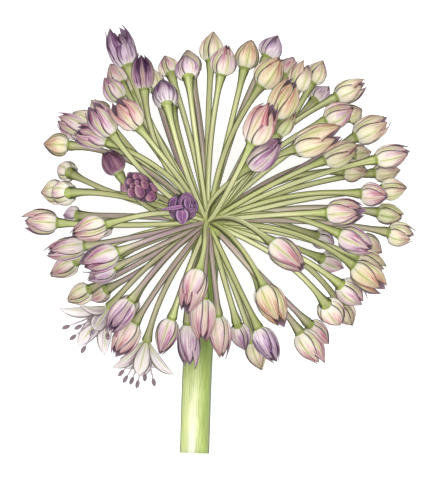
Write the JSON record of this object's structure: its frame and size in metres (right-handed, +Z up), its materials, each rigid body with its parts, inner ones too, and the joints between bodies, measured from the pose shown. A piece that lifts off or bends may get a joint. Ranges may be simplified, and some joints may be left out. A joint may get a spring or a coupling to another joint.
{
  "type": "allium flower head",
  "caption": "Cut allium umbel lying on its side: a loose round head of pointed buds on arching stalks, with open flowers, a knot of bulbils, a folded bud and a short scape.",
  "frame": {"origin": "under the middle of the part, on the surface that it lies on", "axes": "+Z up from the surface, towards the side that shows; the scape runs along -Y; +X to the right seen from above"},
  "size_m": [0.0956, 0.106, 0.0884],
  "materials": {
    "stalks": "satin",
    "plum_tepals": "satin",
    "lilac_tepals": "satin",
    "rose_tepals": "satin",
    "peach_tepals": "satin",
    "cream_tepals": "satin",
    "green_tepals": "satin",
    "anthers": "satin"
  },
  "bodies": {
    "root": {"scape_and_stalks": "stalks", "bud_upper_left_1": "plum_tepals", "bud_upper_left_2": "plum_tepals", "bud_upper_left_3": "plum_tepals", "bud_upper_left_4": "lilac_tepals", "bud_upper_left_10": "lilac_tepals", "bud_upper_left_11": "peach_tepals", "bud_upper_left_12": "lilac_tepals", "bud_upper_left_13": "lilac_tepals", "bud_upper_left_14": "lilac_tepals", "bud_upper_left_17": "peach_tepals", "bud_upper_left_20": "lilac_tepals", "bud_upper_left_21": "plum_tepals", "bud_left_1": "rose_tepals", "bud_left_3": "cream_tepals", "bud_left_4": "rose_tepals", "bud_left_6": "lilac_tepals", "bud_left_7": "rose_tepals", "bud_top_2": "rose_tepals", "bud_top_3": "peach_tepals", "bud_top_4": "lilac_tepals", "bud_top_5": "peach_tepals", "bud_top_7": "green_tepals", "bud_top_9": "peach_tepals", "bud_top_10": "green_tepals", "bud_top_12": "peach_tepals", "bud_top_13": "rose_tepals", "bud_right_1": "cream_tepals", "bud_right_2": "rose_tepals", "bud_right_4": "rose_tepals", "bud_right_5": "peach_tepals", "bud_right_6": "rose_tepals", "bud_right_8": "rose_tepals", "bud_right_9": "rose_tepals", "bud_right_11": "rose_tepals", "bud_right_13": "rose_tepals", "bud_right_15": "rose_tepals", "bud_lower_right_2": "lilac_tepals", "bud_lower_right_5": "cream_tepals", "bud_lower_right_7": "rose_tepals", "bud_lower_right_8": "rose_tepals", "bud_lower_right_10": "rose_tepals", "bud_lower_right_11": "rose_tepals", "bud_lower_right_12": "rose_tepals", "bud_lower_right_13": "peach_tepals", "bud_lower_right_14": "lilac_tepals", "bud_lower_right_16": "lilac_tepals", "bud_below_1": "rose_tepals", "bud_below_2": "rose_tepals", "bud_below_3": "lilac_tepals", "bud_below_4": "rose_tepals", "bud_below_5": "lilac_tepals", "bud_below_6": "lilac_tepals", "bud_below_7": "lilac_tepals", "flower_left_tepals": "cream_tepals", "flower_left_stamens": "anthers", "flower_below_tepals": "cream_tepals", "flower_below_stamens": "anthers", "knot_of_bulbils": "plum_tepals", "folded_bud": "plum_tepals"}
  },
  "joints": []
}
